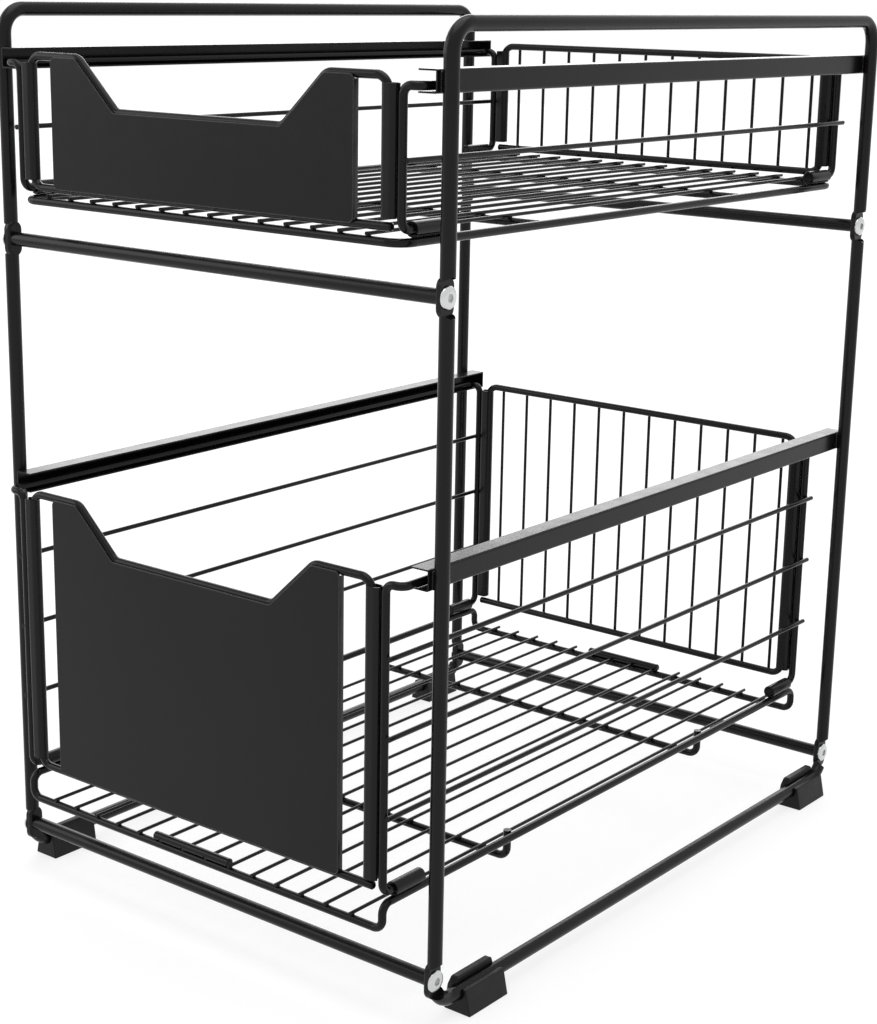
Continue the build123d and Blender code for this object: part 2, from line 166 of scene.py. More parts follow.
@dataclass(frozen=True)
class Finish:
    """A surface finish that builds one procedural material.

    The colour drifts over patches of some centimetres, the roughness over millimetres, and the bump
    has a soft wave with a fine grain on top. Scales are in waves per metre. Along edges the colour
    turns towards a lighter edge colour: on most finishes a slight lightening where coat or plating
    wears thin, on the pressed plates and the bright zinc a painted highlight in place of the light
    that their rounded edges catch. edge_turn holds the cosines of the turn at which this edge colour
    begins and is full.
    """

    name: str
    colour: tuple[float, float, float]
    colour_drift: float
    roughness: tuple[float, float]
    specular: float
    metallic: float
    wave_scale: float
    wave_height: float
    grain_scale: float
    grain_height: float
    edge_radius: float
    # Edge colour and its largest share: a slight lightening where coat or plating wears thin on most
    # finishes; the plates and the bright zinc set lighter values that paint a highlight.
    edge_wear_and_highlight_gain: float
    edge_wear_and_highlight_colour: tuple[float, float, float] = (0.012, 0.012, 0.013)
    patch_scale: float = 14.0
    smudge_scale: float = 120.0
    patch_span: tuple[float, float] = (0.35, 0.65)
    smudge_span: tuple[float, float] = (0.3, 0.7)
    patch_detail: float = 2.0
    smudge_detail: float = 4.0
    wave_detail: float = 1.0
    grain_detail: float = 2.0
    edge_turn: tuple[float, float] = (0.98, 0.75)
    bevel_samples: int = 4

    def material(self) -> bpy.types.Material:
        """Returns the finish's material, built once."""
        known = bpy.data.materials.get(self.name)
        if known:
            return known
        material = bpy.data.materials.new(self.name)
        material.use_nodes = True
        board = NodeBoard(material.node_tree)
        board.tree.nodes.clear()
        output = board.add("ShaderNodeOutputMaterial")
        shader = board.add(
            "ShaderNodeBsdfPrincipled",
            {"Metallic": self.metallic, "Specular IOR Level": self.specular},
        )
        board.link(shader.outputs["BSDF"], output.inputs["Surface"])
        place = board.add("ShaderNodeTexCoord").outputs["Object"]
        self._colour_nodes(board, place, shader)
        self._roughness_nodes(board, place, shader)
        self._bump_nodes(board, place, shader)
        return material

    def _noise(
        self,
        board: NodeBoard,
        place: bpy.types.NodeSocket,
        scale: float,
        detail: float,
    ) -> bpy.types.NodeSocket:
        """Adds a noise texture on object coordinates.

        Args:
            board: The material's nodes.
            place: The coordinates' output.
            scale: Waves per metre.
            detail: Octaves of finer waves.

        Returns:
            The output with the noise, from 0 to 1.
        """
        noise = board.add("ShaderNodeTexNoise", {"Scale": scale, "Detail": detail})
        board.link(place, noise.inputs["Vector"])
        return noise.outputs["Fac"]

    def _colour_nodes(
        self,
        board: NodeBoard,
        place: bpy.types.NodeSocket,
        shader: bpy.types.Node,
    ) -> None:
        """Gives the base colour its slow drift and, along edges, turns it to the lighter edge colour:
        slight thin-coat wear on most finishes, a painted highlight on the plates and the bright zinc.

        Args:
            board: The material's nodes.
            place: The coordinates' output.
            shader: The surface shader.
        """
        drift = self._noise(board, place, self.patch_scale, self.patch_detail)
        ramp = board.add("ShaderNodeValToRGB")
        ends = zip(ramp.color_ramp.elements, self.patch_span, (-1.0, 1.0))
        for element, position, sign in ends:
            element.position = position
            element.color = (*(c * (1.0 + sign * self.colour_drift) for c in self.colour), 1.0)
        board.link(drift, ramp.inputs["Fac"])
        # Edge mask: where the bevel's normal turns away from the surface's own, the colour goes towards
        # the edge colour. This is a painted highlight on the plates and the bright zinc, and slight
        # thin-coat wear on the rest.
        bevel = board.add("ShaderNodeBevel", {"Radius": self.edge_radius}, samples=self.bevel_samples)
        normal = board.add("ShaderNodeNewGeometry")
        turn = board.add("ShaderNodeVectorMath", operation="DOT_PRODUCT")
        board.link(bevel.outputs["Normal"], turn.inputs[0])
        board.link(normal.outputs["Normal"], turn.inputs[1])
        flat, sharp = self.edge_turn
        edge = board.add(
            "ShaderNodeMapRange",
            {"From Min": flat, "From Max": sharp, "To Max": self.edge_wear_and_highlight_gain},
        )
        board.link(turn.outputs["Value"], edge.inputs["Value"])
        edge_wear_and_highlight_colour = {COLOUR_MIX_SECOND: (*self.edge_wear_and_highlight_colour, 1.0)}
        mix = board.add("ShaderNodeMix", edge_wear_and_highlight_colour, data_type="RGBA")
        board.link(edge.outputs["Result"], mix.inputs[COLOUR_MIX_SHARE])
        board.link(ramp.outputs["Color"], mix.inputs[COLOUR_MIX_FIRST])
        board.link(mix.outputs[COLOUR_MIX_RESULT], shader.inputs["Base Color"])

    def _roughness_nodes(
        self,
        board: NodeBoard,
        place: bpy.types.NodeSocket,
        shader: bpy.types.Node,
    ) -> None:
        """Varies the roughness between its two ends.

        Args:
            board: The material's nodes.
            place: The coordinates' output.
            shader: The surface shader.
        """
        keys = ("From Min", "From Max", "To Min", "To Max")
        span = board.add("ShaderNodeMapRange", dict(zip(keys, self.smudge_span + self.roughness)))
        cloud = self._noise(board, place, self.smudge_scale, self.smudge_detail)
        board.link(cloud, span.inputs["Value"])
        board.link(span.outputs["Result"], shader.inputs["Roughness"])

    def _bump_nodes(
        self,
        board: NodeBoard,
        place: bpy.types.NodeSocket,
        shader: bpy.types.Node,
    ) -> None:
        """Lays the fine grain over the soft wave.

        Args:
            board: The material's nodes.
            place: The coordinates' output.
            shader: The surface shader.
        """
        soft = self._noise(board, place, self.wave_scale, self.wave_detail)
        fine = self._noise(board, place, self.grain_scale, self.grain_detail)
        wave = board.add("ShaderNodeBump", {"Distance": self.wave_height})
        grain = board.add("ShaderNodeBump", {"Distance": self.grain_height})
        board.link(soft, wave.inputs["Height"])
        board.link(fine, grain.inputs["Height"])
        board.link(wave.outputs["Normal"], grain.inputs["Normal"])
        board.link(grain.outputs["Normal"], shader.inputs["Normal"])


POWDER_COAT = Finish(
    name="satin_black_powder_coat",
    colour=(0.0060, 0.0058, 0.0066),
    colour_drift=0.12,
    roughness=(0.2, 0.27),
    specular=0.18,
    metallic=0.0,
    wave_scale=700.0,
    wave_height=0.02 * MM,
    grain_scale=3200.0,
    grain_height=0.004 * MM,
    edge_radius=0.35 * MM,
    edge_wear_and_highlight_gain=0.5,
)
# Painted highlight: a light grey edge colour over a wide edge mask paints the light line that the
# plate's rounded front edges catch.
PLATE_COAT = replace(
    POWDER_COAT,
    name="satin_black_coat_on_pressed_plate",
    edge_radius=0.85 * MM,
    edge_wear_and_highlight_gain=0.9,
    edge_wear_and_highlight_colour=(0.2, 0.2, 0.21),
)
ROD_COAT = Finish(
    name="satin_black_coat_on_drawn_rod",
    colour=(0.0046, 0.0046, 0.0051),
    colour_drift=0.1,
    roughness=(0.16, 0.23),
    specular=0.17,
    metallic=0.0,
    wave_scale=900.0,
    wave_height=0.012 * MM,
    grain_scale=3600.0,
    grain_height=0.003 * MM,
    edge_radius=0.2 * MM,
    edge_wear_and_highlight_gain=0.3,
)
WELD_COAT = Finish(
    name="black_coat_over_welds",
    colour=(0.0052, 0.0052, 0.0056),
    colour_drift=0.25,
    roughness=(0.28, 0.42),
    specular=0.22,
    metallic=0.0,
    wave_scale=1500.0,
    wave_height=0.05 * MM,
    grain_scale=4200.0,
    grain_height=0.01 * MM,
    edge_radius=0.2 * MM,
    edge_wear_and_highlight_gain=0.2,
)
# Its much lighter edge colour paints a highlight on the rims and edges of the screw heads.
BRIGHT_ZINC = Finish(
    name="bright_zinc_plating",
    colour=(0.56, 0.57, 0.57),
    colour_drift=0.08,
    roughness=(0.18, 0.3),
    specular=0.5,
    metallic=1.0,
    wave_scale=500.0,
    wave_height=0.01 * MM,
    grain_scale=2600.0,
    grain_height=0.004 * MM,
    edge_radius=0.2 * MM,
    edge_wear_and_highlight_gain=0.5,
    edge_wear_and_highlight_colour=(0.86, 0.87, 0.87),
)
PLAIN_ZINC = Finish(
    name="plain_zinc_insert",
    colour=(0.55, 0.56, 0.57),
    colour_drift=0.1,
    roughness=(0.35, 0.5),
    specular=0.5,
    metallic=1.0,
    wave_scale=600.0,
    wave_height=0.02 * MM,
    grain_scale=2600.0,
    grain_height=0.008 * MM,
    edge_radius=0.2 * MM,
    edge_wear_and_highlight_gain=0.3,
    edge_wear_and_highlight_colour=(0.6, 0.61, 0.62),
)
FOOT_PLASTIC = Finish(
    name="grained_black_plastic",
    colour=(0.0060, 0.0060, 0.0066),
    colour_drift=0.08,
    roughness=(0.42, 0.54),
    specular=0.22,
    metallic=0.0,
    wave_scale=500.0,
    wave_height=0.02 * MM,
    grain_scale=2400.0,
    grain_height=0.02 * MM,
    edge_radius=0.5 * MM,
    edge_wear_and_highlight_gain=0.4,
)


def finish_piece(piece: bpy.types.Object, finish: Finish, body: str) -> None:
    """Dresses a new piece and lets it ride on its body.

    Args:
        piece: The finished piece.
        finish: Its finish.
        body: The CAD body that it moves with.
    """
    piece.data.materials.clear()
    piece.data.materials.append(finish.material())
    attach(piece, body)
    log.info("piece %s rides on %s, %d faces", piece.name, body, len(piece.data.polygons))


def dress_nodes(nodes: Iterable[str], finish: Finish) -> None:
    """Gives CAD nodes that stay in view their finish.

    Args:
        nodes: The nodes' names.
        finish: Their finish.
    """
    for node in nodes:
        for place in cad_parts[node].material_slots:
            place.material = finish.material()
        log.info("node %s keeps its shape, in %s", node, finish.name)


# ---------------------------------------------------------------- softened edges
@dataclass
class SoftEdges:
    """Rounds the sharp edges of a CAD node on a copy of its mesh."""

    radius: float
    segments: int = 2
    front_only: bool = False
    sharp_angle: float = math.radians(38.0)
    flat_angle: float = math.radians(1.0)
    merge_distance: float = 0.002 * MM

    def copy_of(self, node: str, name: str) -> bpy.types.Object:
        """Makes the rounded copy.

        Args:
            node: The CAD node that is copied.
            name: The new piece's name.

        Returns:
            The rounded piece, with plain mesh and no modifier.
        """
        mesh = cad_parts[node].data.copy()
        if "custom_normal" in mesh.attributes:
            mesh.attributes.remove(mesh.attributes["custom_normal"])
        shape = bmesh.new()
        shape.from_mesh(mesh)
        bmesh.ops.remove_doubles(shape, verts=shape.verts, dist=self.merge_distance)
        bmesh.ops.dissolve_limit(
            shape,
            angle_limit=self.flat_angle,
            verts=shape.verts,
            edges=shape.edges,
        )
        for face in shape.faces:
            face.smooth = True
        self._mark_edges(shape)
        shape.to_mesh(mesh)
        shape.free()
        piece = link_object(name, mesh)
        bevel = piece.modifiers.new("rounded_edges", "BEVEL")
        bevel.width = self.radius
        bevel.segments = self.segments
        bevel.limit_method = "WEIGHT"
        bevel.use_clamp_overlap = False
        normals = piece.modifiers.new("flat_faces_stay_flat", "WEIGHTED_NORMAL")
        normals.keep_sharp = True
        bake_modifiers(piece)
        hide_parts(node)
        return piece

    def _mark_edges(self, shape: bmesh.types.BMesh) -> None:
        """Marks the edges that are rounded: all sharp ones, or those round the foremost face.

        Args:
            shape: The merged mesh.
        """
        weight = shape.edges.layers.float.new("bevel_weight_edge")
        front = min(vertex.co.y for vertex in shape.verts) + self.merge_distance
        for edge in shape.edges:
            foremost = max(vertex.co.y for vertex in edge.verts) < front
            if len(edge.link_faces) == 2 and (foremost or not self.front_only):
                edge[weight] = float(edge.calc_face_angle() > self.sharp_angle)


# ---------------------------------------------------------------- parts set on points
@dataclass
class PointSet:
    """Points that carry the direction a part stands up in and the direction it lies along."""

    places: list[Vector] = field(default_factory=list)
    ups: list[Vector] = field(default_factory=list)
    alongs: list[Vector] = field(default_factory=list)

    def add(self, place: Sequence[float], up: Vector, along: Vector) -> None:
        """Adds one point.

        Args:
            place: Where the part's own origin goes.
            up: The direction of the part's own Z.
            along: The direction of the part's own X.
        """
        self.places.append(Vector(place))
        self.ups.append(up)
        self.alongs.append(along)

    def mesh(self, name: str) -> bpy.types.Mesh:
        """Returns a mesh of bare points with the two directions as attributes."""
        mesh = bpy.data.meshes.new(name)
        mesh.from_pydata([tuple(p) for p in self.places], [], [])
        for key, vectors in ((UP_ATTRIBUTE, self.ups), (ALONG_ATTRIBUTE, self.alongs)):
            layer = mesh.attributes.new(key, "FLOAT_VECTOR", "POINT")
            layer.data.foreach_set("vector", [c for v in vectors for c in v])
        return mesh


class PointParts:
    """One Geometry Nodes tree that sets a part on every point, a little uneven, in one finish."""

    tree_name: str = "part_on_every_point"
    part_input: str = "Part"
    size_input: str = "Size"
    uneven_input: str = "Uneven"
    spin_input: str = "Spin"
    seed_input: str = "Seed"
    finish_input: str = "Finish"

    def __init__(self) -> None:
        """Builds the tree."""
        self.tree = bpy.data.node_groups.new(self.tree_name, "GeometryNodeTree")
        self.sockets: dict[str, str] = {}
        face = self.tree.interface
        face.new_socket("Geometry", in_out="INPUT", socket_type="NodeSocketGeometry")
        face.new_socket("Geometry", in_out="OUTPUT", socket_type="NodeSocketGeometry")
        for name, kind in (
            (self.part_input, "NodeSocketObject"),
            (self.size_input, "NodeSocketVector"),
            (self.uneven_input, "NodeSocketFloat"),
            (self.spin_input, "NodeSocketFloat"),
            (self.seed_input, "NodeSocketInt"),
            (self.finish_input, "NodeSocketMaterial"),
        ):
            socket = face.new_socket(name, in_out="INPUT", socket_type=kind)
            self.sockets[name] = socket.identifier
        self._wire_up()

    def _wire_up(self) -> None:
        """Adds and links the tree's nodes."""
        board = NodeBoard(self.tree)
        entry = board.add("NodeGroupInput")
        leave = board.add("NodeGroupOutput")
        part = board.add("GeometryNodeObjectInfo")
        board.link(entry.outputs[self.part_input], part.inputs["Object"])
        turn = board.add("FunctionNodeAxesToRotation", primary_axis="Z", secondary_axis="X")
        for key, target in ((UP_ATTRIBUTE, "Primary Axis"), (ALONG_ATTRIBUTE, "Secondary Axis")):
            read = board.add("GeometryNodeInputNamedAttribute", {"Name": key}, data_type="FLOAT_VECTOR")
            board.link(read.outputs["Attribute"], turn.inputs[target])
        angle = self._random(board, entry, self.spin_input)
        euler = board.add("ShaderNodeCombineXYZ")
        board.link(angle, euler.inputs["Z"])
        by = board.add("FunctionNodeEulerToRotation")
        board.link(euler.outputs["Vector"], by.inputs["Euler"])
        spun = board.add("FunctionNodeRotateRotation", rotation_space="LOCAL")
        board.link(turn.outputs["Rotation"], spun.inputs["Rotation"])
        board.link(by.outputs["Rotation"], spun.inputs["Rotate By"])
        change = self._random(board, entry, self.uneven_input)
        factor = board.add("ShaderNodeMath", {0: 1.0}, operation="ADD")
        board.link(change, factor.inputs[1])
        scale = board.add("ShaderNodeVectorMath", operation="SCALE")
        board.link(entry.outputs[self.size_input], scale.inputs["Vector"])
        board.link(factor.outputs["Value"], scale.inputs["Scale"])
        place = board.add("GeometryNodeInstanceOnPoints")
        board.link(entry.outputs["Geometry"], place.inputs["Points"])
        board.link(part.outputs["Geometry"], place.inputs["Instance"])
        board.link(spun.outputs["Rotation"], place.inputs["Rotation"])
        board.link(scale.outputs["Vector"], place.inputs["Scale"])
        real = board.add("GeometryNodeRealizeInstances")
        board.link(place.outputs["Instances"], real.inputs["Geometry"])
        paint = board.add("GeometryNodeSetMaterial")
        board.link(real.outputs["Geometry"], paint.inputs["Geometry"])
        board.link(entry.outputs[self.finish_input], paint.inputs["Material"])
        board.link(paint.outputs["Geometry"], leave.inputs["Geometry"])

    def _random(self, board: NodeBoard, entry: bpy.types.Node, limit: str) -> bpy.types.NodeSocket:
        """Adds a random number between minus and plus one of the tree's inputs.

        Args:
            board: The tree's nodes.
            entry: The group input node.
            limit: The input that gives the largest value.

        Returns:
            The output with the number.
        """
        low = board.add("ShaderNodeMath", {1: -1.0}, operation="MULTIPLY")
        board.link(entry.outputs[limit], low.inputs[0])
        value = board.add("FunctionNodeRandomValue", data_type="FLOAT")
        board.link(low.outputs["Value"], value.inputs[RANDOM_FLOAT_LOW])
        board.link(entry.outputs[limit], value.inputs[RANDOM_FLOAT_HIGH])
        board.link(entry.outputs[self.seed_input], value.inputs["Seed"])
        return value.outputs[RANDOM_FLOAT_VALUE]

    def set_out(
        self,
        name: str,
        points: PointSet,
        part: bpy.types.Mesh,
        size: Vector,
        uneven: float,
        spin: float,
        seed: int,
        finish: Finish,
    ) -> bpy.types.Object:
        """Sets the part on every point.

        Args:
            name: The new piece's name.
            points: Where the parts go.
            part: The part's mesh, about its own origin.
            size: The part's scale along its own axes.
            uneven: The largest share by which its size changes.
            spin: The largest turn about its own Z, in radians.
            seed: Fixes the random draws.
            finish: The finish of all of them.

        Returns:
            One piece with a plain mesh.
        """
        source = link_object(f"{name}_part", part)
        piece = link_object(name, points.mesh(name))
        modifier = piece.modifiers.new(self.tree_name, "NODES")
        modifier.node_group = self.tree
        values = {
            self.part_input: source,
            self.size_input: tuple(size),
            self.uneven_input: uneven,
            self.spin_input: spin,
            self.seed_input: seed,
            self.finish_input: finish.material(),
        }
        for key, value in values.items():
            modifier[self.sockets[key]] = value
        bake_modifiers(piece)
        bpy.data.objects.remove(source)
        for layer in (UP_ATTRIBUTE, ALONG_ATTRIBUTE):
            if layer in piece.data.attributes:
                piece.data.attributes.remove(piece.data.attributes[layer])
        return piece


def nugget_mesh() -> bpy.types.Mesh:
    """Returns a small smooth ball of unit radius, for weld marks."""
    mesh = bpy.data.meshes.new("weld_nugget")
    shape = bmesh.new()
    bmesh.ops.create_icosphere(shape, subdivisions=2, radius=1.0)
    for face in shape.faces:
        face.smooth = True
    shape.to_mesh(mesh)
    shape.free()
    return mesh


# ---------------------------------------------------------------- screws
@dataclass
class ButtonScrew:
    """A machine screw with a low domed head, a hexagon socket and a real thread.

    The bearing face of the head lies at z = 0, the head stands up from it and the shank points down.
    """

    head_radius: float = 5.25 * MM
    head_height: float = 1.8 * MM
    shank_radius: float = 2.0 * MM
    shank_length: float = 12.6 * MM
    pitch: float = 0.7 * MM
    thread_depth: float = 0.38 * MM
    socket_apothem: float = 1.75 * MM
    socket_depth: float = 1.35 * MM
    socket_flare: float = 1.14
    socket_flare_depth: float = 0.2 * MM
    socket_foot_share: float = 0.99
    socket_cone: float = 0.25 * MM
    tip_bevel: float = 0.35 * MM
    tip_share: float = 0.8
    thread_start: float = 0.4 * MM
    thread_end: float = 0.5 * MM
    segments: int = 36
    rings_per_turn: int = 5
    sharp_angle: float = math.radians(40.0)

    def mesh(self) -> bpy.types.Mesh:
        """Returns the screw's closed mesh."""
        shape = bmesh.new()
        tip = shape.verts.new((0.0, 0.0, -self.shank_length))
        rings = [self._ring(shape, *row) for row in self._shank_rows() + self._head_rows()]
        rings += [self._socket_ring(shape, *row) for row in self._socket_rows()]
        floor = shape.verts.new((0.0, 0.0, self.head_height - self.socket_depth - self.socket_cone))
        count = self.segments
        for low, high in zip(rings, rings[1:]):
            for i in range(count):
                j = (i + 1) % count
                shape.faces.new((low[i], low[j], high[j], high[i]))
        for i in range(count):
            j = (i + 1) % count
            shape.faces.new((tip, rings[0][j], rings[0][i]))
            shape.faces.new((floor, rings[-1][i], rings[-1][j]))
        for face in shape.faces:
            face.smooth = True
        bmesh.ops.recalc_face_normals(shape, faces=shape.faces)
        mesh = bpy.data.meshes.new("button_screw")
        shape.to_mesh(mesh)
        shape.free()
        mesh.set_sharp_from_angle(angle=self.sharp_angle)
        return mesh

    def _shank_rows(self) -> list[tuple[float, float, float]]:
        """Returns (radius, height, thread share) of each ring of the shank, from the tip up."""
        root = self.shank_radius - self.thread_depth
        tip = -self.shank_length
        rows = [(root * self.tip_share, tip, 0.0), (root, tip + self.tip_bevel, 0.0)]
        step = self.pitch / self.rings_per_turn
        low = tip + self.thread_start
        for i in range(int((-self.thread_end - low) / step) + 1):
            share = min(1.0, i / self.rings_per_turn)
            rows.append((root, low + i * step, share))
        rows.append((self.shank_radius, 0.0, 0.0))
        return rows

    def _head_rows(self) -> list[tuple[float, float, float]]:
        """Returns (radius, height, thread share) of each ring of the head, from below to the top."""
        r = self.head_radius
        h = self.head_height
        return [
            (r - 0.15 * MM, 0.0, 0.0),
            (r, 0.15 * MM, 0.0),
            (r, 0.3 * h, 0.0),
            (r - 0.15 * MM, 0.48 * h, 0.0),
            (r - 0.55 * MM, 0.66 * h, 0.0),
            (r - 1.15 * MM, 0.82 * h, 0.0),
            (r - 1.85 * MM, 0.94 * h, 0.0),
            (r - 2.4 * MM, 0.99 * h, 0.0),
            (r - 2.9 * MM, h, 0.0),
        ]

    def _socket_rows(self) -> list[tuple[float, float]]:
        """Returns (scale, height) of each ring of the socket, from the rim down."""
        h = self.head_height
        return [
            (self.socket_flare, h),
            (1.0, h - self.socket_flare_depth),
            (self.socket_foot_share, h - self.socket_depth),
        ]

    def _ring(
        self,
        shape: bmesh.types.BMesh,
        radius: float,
        height: float,
        thread: float,
    ) -> list[bmesh.types.BMVert]:
        """Adds a round ring whose radius follows the thread.

        Args:
            shape: The mesh that is built.
            radius: The ring's radius at the root of the thread.
            height: Its height.
            thread: How deep the thread is here, from 0 to 1.

        Returns:
            The ring's vertices.
        """
        ring = []
        for i in range(self.segments):
            angle = 2.0 * math.pi * i / self.segments
            turn = (height / self.pitch - i / self.segments) % 1.0
            crest = 1.0 - abs(2.0 * turn - 1.0)
            r = radius + thread * self.thread_depth * crest
            ring.append(shape.verts.new((r * math.cos(angle), r * math.sin(angle), height)))
        return ring

    def _socket_ring(
        self,
        shape: bmesh.types.BMesh,
        scale: float,
        height: float,
    ) -> list[bmesh.types.BMVert]:
        """Adds a hexagonal ring.

        Args:
            shape: The mesh that is built.
            scale: The hexagon's size against the socket's.
            height: The ring's height.

        Returns:
            The ring's vertices.
        """
        ring = []
        sixth = math.pi / 3.0
        for i in range(self.segments):
            angle = 2.0 * math.pi * i / self.segments
            off = angle % sixth - sixth / 2.0
            r = scale * self.socket_apothem / math.cos(off)
            ring.append(shape.verts.new((r * math.cos(angle), r * math.sin(angle), height)))
        return ring


# ---------------------------------------------------------------- the carrying frame
@dataclass
class CarryingFrame:
    """The tube frame with its rails, screws, inserts and feet."""

    parts: PointParts
    body: str = "frame"
    screw: ButtonScrew = field(default_factory=ButtonScrew)
    tube_radius: float = 3.5 * MM
    rail_edges: SoftEdges = field(default_factory=lambda: SoftEdges(0.22 * MM))
    foot_edges: SoftEdges = field(default_factory=lambda: SoftEdges(0.6 * MM, 3))
    bead_size: Vector = field(default_factory=lambda: Vector((0.75, 1.1, 0.95)) * MM)
    bead_step: float = 1.15 * MM
    bead_inset: float = 1.4 * MM
    bead_lift: float = 0.25 * MM
    bead_uneven: float = 0.12
    bead_spin: float = 0.15
    seed: int = 11

    def build(self) -> None:
        """Builds and dresses the frame."""
        self.build_screws()
        self.build_rails()
        self.build_feet()
        self.build_rail_welds()
        dress_nodes([f"side_frame_{side}" for side in SIDES], POWDER_COAT)
        tubes = [f"cross_tube_{end}_{row}" for end in ENDS for row in ("mid", "bottom")]
        dress_nodes(tubes, POWDER_COAT)
        dress_nodes(["threaded_plugs"], PLAIN_ZINC)

    def screw_points(self) -> PointSet:
        """Returns the eight bearing faces under the screw heads."""
        low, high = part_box("frame_screws")
        radius = self.screw.head_radius
        points = PointSet()
        seats = (
            (high.x - self.screw.head_height, Axis.X.value),
            (low.x + self.screw.head_height, -Axis.X.value),
        )
        for x, up in seats:
            for y in (low.y + radius, high.y - radius):
                for z in (low.z + radius, high.z - radius):
                    points.add((x, y, z), up, Axis.Z.value)
        return points

    def build_screws(self) -> None:
        """Sets a threaded screw at every joint of the frame."""
        piece = self.parts.set_out(
            "frame_button_screws",
            self.screw_points(),
            self.screw.mesh(),
            Vector((1.0, 1.0, 1.0)),
            0.0,
            math.pi,
            self.seed,
            BRIGHT_ZINC,
        )
        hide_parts("frame_screws")
        finish_piece(piece, BRIGHT_ZINC, self.body)

    def build_rails(self) -> None:
        """Rounds the folded and cut edges of the four rails."""
        for tier in Tier:
            for side in SIDES:
                name = f"{tier.value}_rail_{side}_folded"
                piece = self.rail_edges.copy_of(f"rail_{tier.value}_{side}", name)
                finish_piece(piece, POWDER_COAT, self.body)

    def build_feet(self) -> None:
        """Rounds the moulded edges of the four feet."""
        for end in ENDS:
            for side in SIDES:
                name = f"{end}_foot_{side}_moulded"
                piece = self.foot_edges.copy_of(f"foot_{end}_{side}", name)
                finish_piece(piece, FOOT_PLASTIC, self.body)

    def build_rail_welds(self) -> None:
        """Lays a short weld bead on both sides of every tube where a rail meets it."""
        screw_low, screw_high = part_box("frame_screws")
        ys = (screw_low.y + self.screw.head_radius, screw_high.y - self.screw.head_radius)
        points = PointSet()
        for tier in Tier:
            for side, sign in zip(SIDES, (-1.0, 1.0)):
                low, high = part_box(f"rail_{tier.value}_{side}")
                x = high.x if sign > 0 else low.x
                for y in ys:
                    for across in (-1.0, 1.0):
                        self._add_bead(points, Vector((x, y, low.z)), high.z, sign, across)
        piece = self.parts.set_out(
            "rail_weld_beads",
            points,
            nugget_mesh(),
            self.bead_size,
            self.bead_uneven,
            self.bead_spin,
            self.seed,
            WELD_COAT,
        )
        finish_piece(piece, WELD_COAT, self.body)

    def _add_bead(
        self,
        points: PointSet,
        foot: Vector,
        top: float,
        sign: float,
        across: float,
    ) -> None:
        """Adds the points of one upright bead in the corner between a rail's web and a tube.

        Args:
            points: The points that are added to.
            foot: The tube's contact line with the web, at the rail's underside.
            top: The rail's top.
            sign: Plus one on the right side, minus one on the left.
            across: Plus one behind the tube, minus one in front of it.
        """
        offset = math.sqrt(self.tube_radius**2 - (self.tube_radius - self.bead_size.x) ** 2)
        count = int((top - foot.z - 2.0 * self.bead_inset) / self.bead_step) + 1
        for i in range(count):
            z = foot.z + self.bead_inset + i * self.bead_step
            place = (foot.x + sign * self.bead_lift, foot.y + across * offset, z)
            points.add(place, Axis.Z.value, Axis.X.value)


